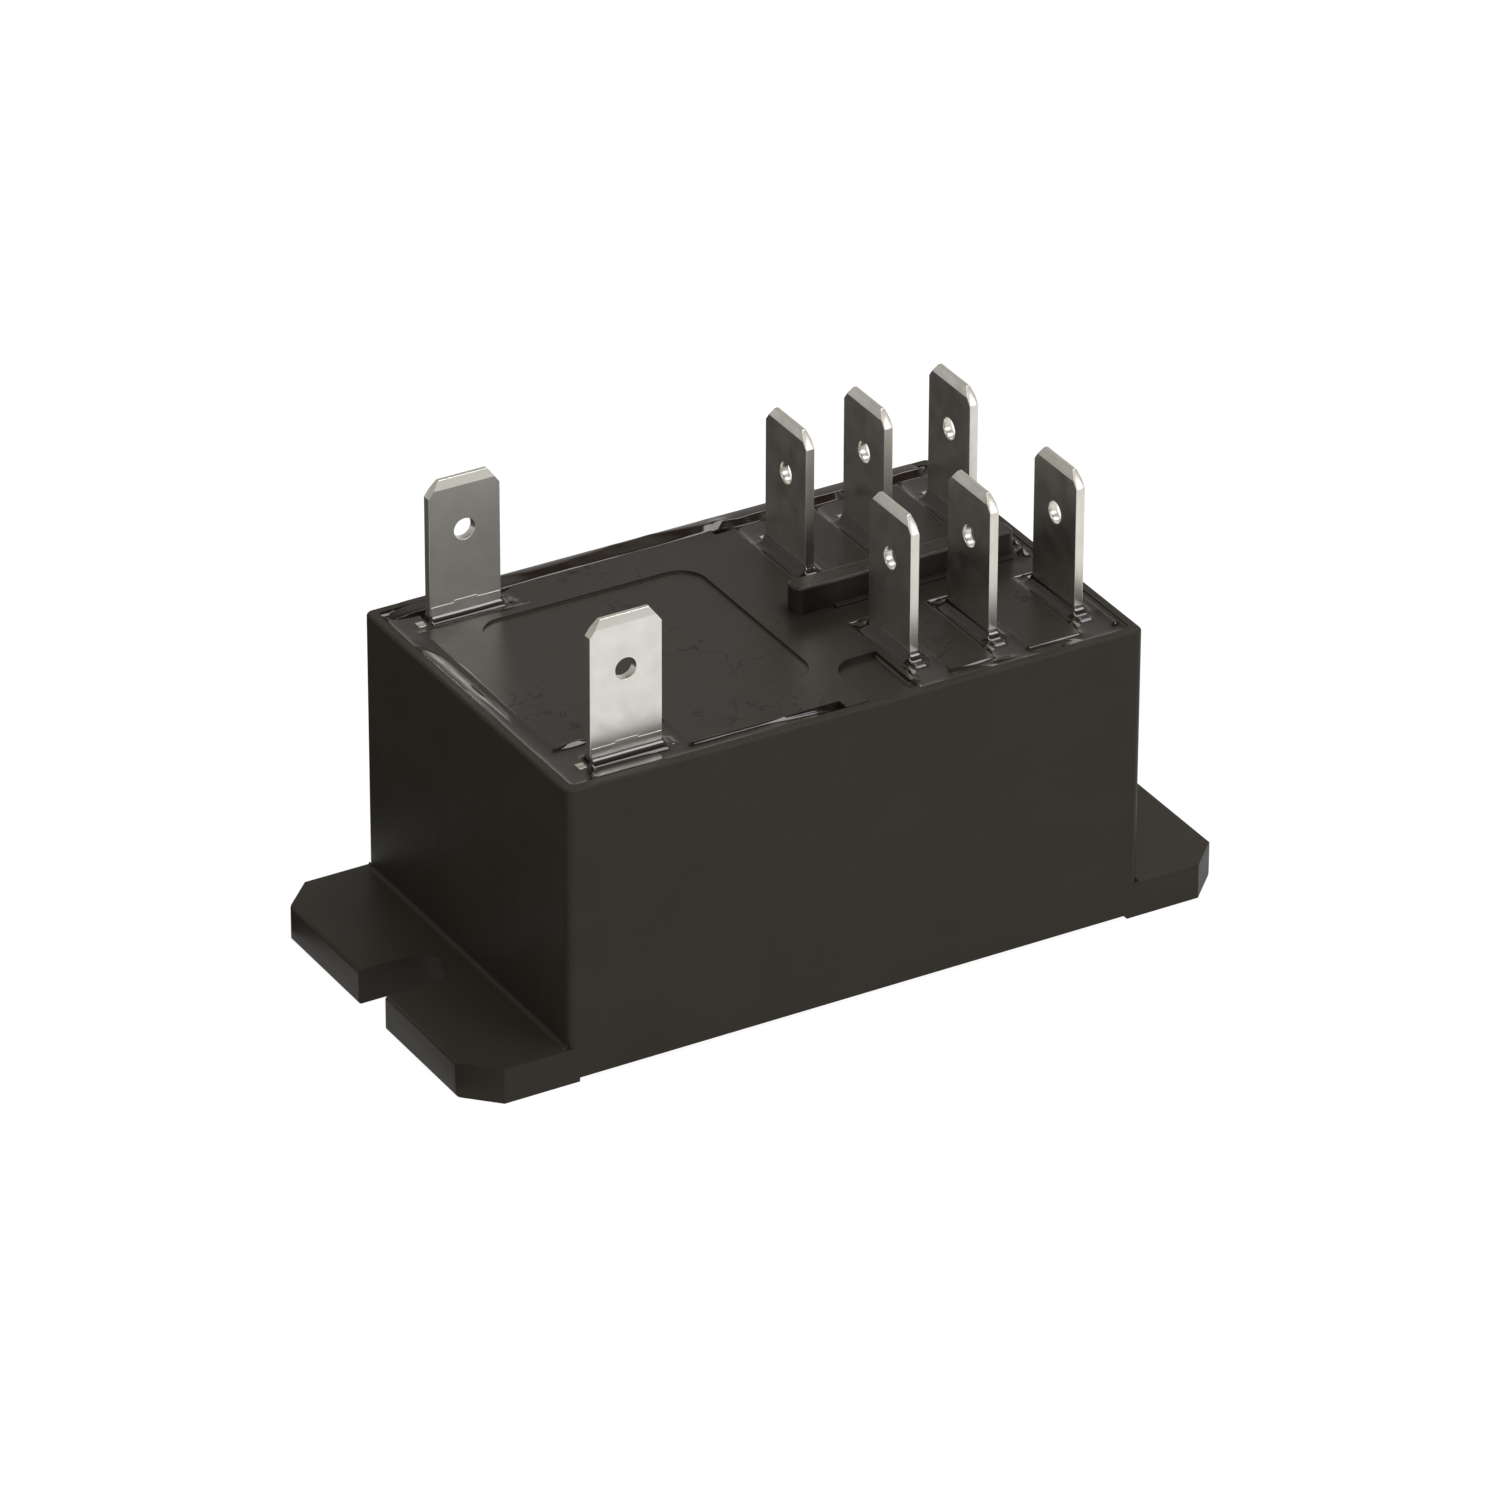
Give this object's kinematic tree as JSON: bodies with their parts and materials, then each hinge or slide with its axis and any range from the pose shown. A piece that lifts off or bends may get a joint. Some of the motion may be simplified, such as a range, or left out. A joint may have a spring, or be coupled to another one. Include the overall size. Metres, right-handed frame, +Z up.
{
  "type": "miniature power relay",
  "caption": "Sealed changeover power relay with open screw slots in its end flanges and quick-connect blades standing on its top",
  "frame": {"origin": "centre of the footprint, in the plane of the flange feet", "axes": "+X along the long side towards the contact blades, +Y towards the rear row, +Z up along the blades"},
  "size_m": [0.069, 0.033, 0.0384],
  "materials": {
    "case_plastic": "moulded black thermoplastic, fine matte",
    "header_plastic": "moulded black thermoplastic, matte",
    "potting_epoxy": "cast black epoxy, glossy",
    "plated_brass": "stamped brass with dull tin plating",
    "contact_silver": "headed silver alloy",
    "copper_wire": "enamelled copper",
    "coil_tape": "polyester tape",
    "bobbin_nylon": "moulded natural nylon",
    "plated_iron": "zinc-plated soft iron",
    "spring_steel": "drawn stainless wire",
    "spring_bronze": "rolled spring bronze",
    "card_plastic": "moulded white acetal"
  },
  "bodies": {
    "housing": {"case": "case_plastic", "header": "header_plastic", "epoxy_seal": "potting_epoxy", "coil_terminal_front": "plated_brass", "normally_open_terminal_front": "plated_brass", "common_terminal_front": "plated_brass", "normally_closed_terminal_front": "plated_brass", "normally_open_contact_front": "contact_silver", "normally_closed_contact_front": "contact_silver", "coil_lead_front": "copper_wire", "coil_terminal_rear": "plated_brass", "normally_open_terminal_rear": "plated_brass", "common_terminal_rear": "plated_brass", "normally_closed_terminal_rear": "plated_brass", "normally_open_contact_rear": "contact_silver", "normally_closed_contact_rear": "contact_silver", "coil_lead_rear": "copper_wire", "bobbin": "bobbin_nylon", "winding": "copper_wire", "winding_tape": "coil_tape", "core": "plated_iron", "yoke": "plated_iron", "return_spring": "spring_steel"},
    "armature": {"armature": "plated_iron"},
    "card": {"card": "card_plastic"},
    "front_blade": {"moving_blade_front": "spring_bronze", "moving_contact_front": "contact_silver"},
    "rear_blade": {"moving_blade_rear": "spring_bronze", "moving_contact_rear": "contact_silver"}
  },
  "joints": [
    {"name": "armature_swing", "type": "hinge", "parent": "housing", "child": "armature", "pos_m": [-0.0014, 0, 0.0219], "axis": [0, 1, 0], "range_deg": [0, 6.8], "deforming": ["return_spring"]},
    {"name": "card_slide", "type": "slide", "parent": "housing", "child": "card", "axis": [1, 0, 0], "range_m": [-0.002, 0], "stiffness_N_per_m": 175, "springref_m": 0.0017},
    {"name": "front_blade_swing", "type": "hinge", "parent": "housing", "child": "front_blade", "pos_m": [0.01558, 0, 0.0194], "axis": [0, 1, 0], "range_deg": [0, 8]},
    {"name": "rear_blade_swing", "type": "hinge", "parent": "housing", "child": "rear_blade", "pos_m": [0.01558, 0, 0.0194], "axis": [0, 1, 0], "range_deg": [0, 8]}
  ],
  "couplings": [
    {"joint": "armature_swing", "follows": "card_slide", "rad_per_m": -59.311},
    {"joint": "front_blade_swing", "follows": "card_slide", "rad_per_m": -69.671},
    {"joint": "rear_blade_swing", "follows": "card_slide", "rad_per_m": -69.671}
  ]
}
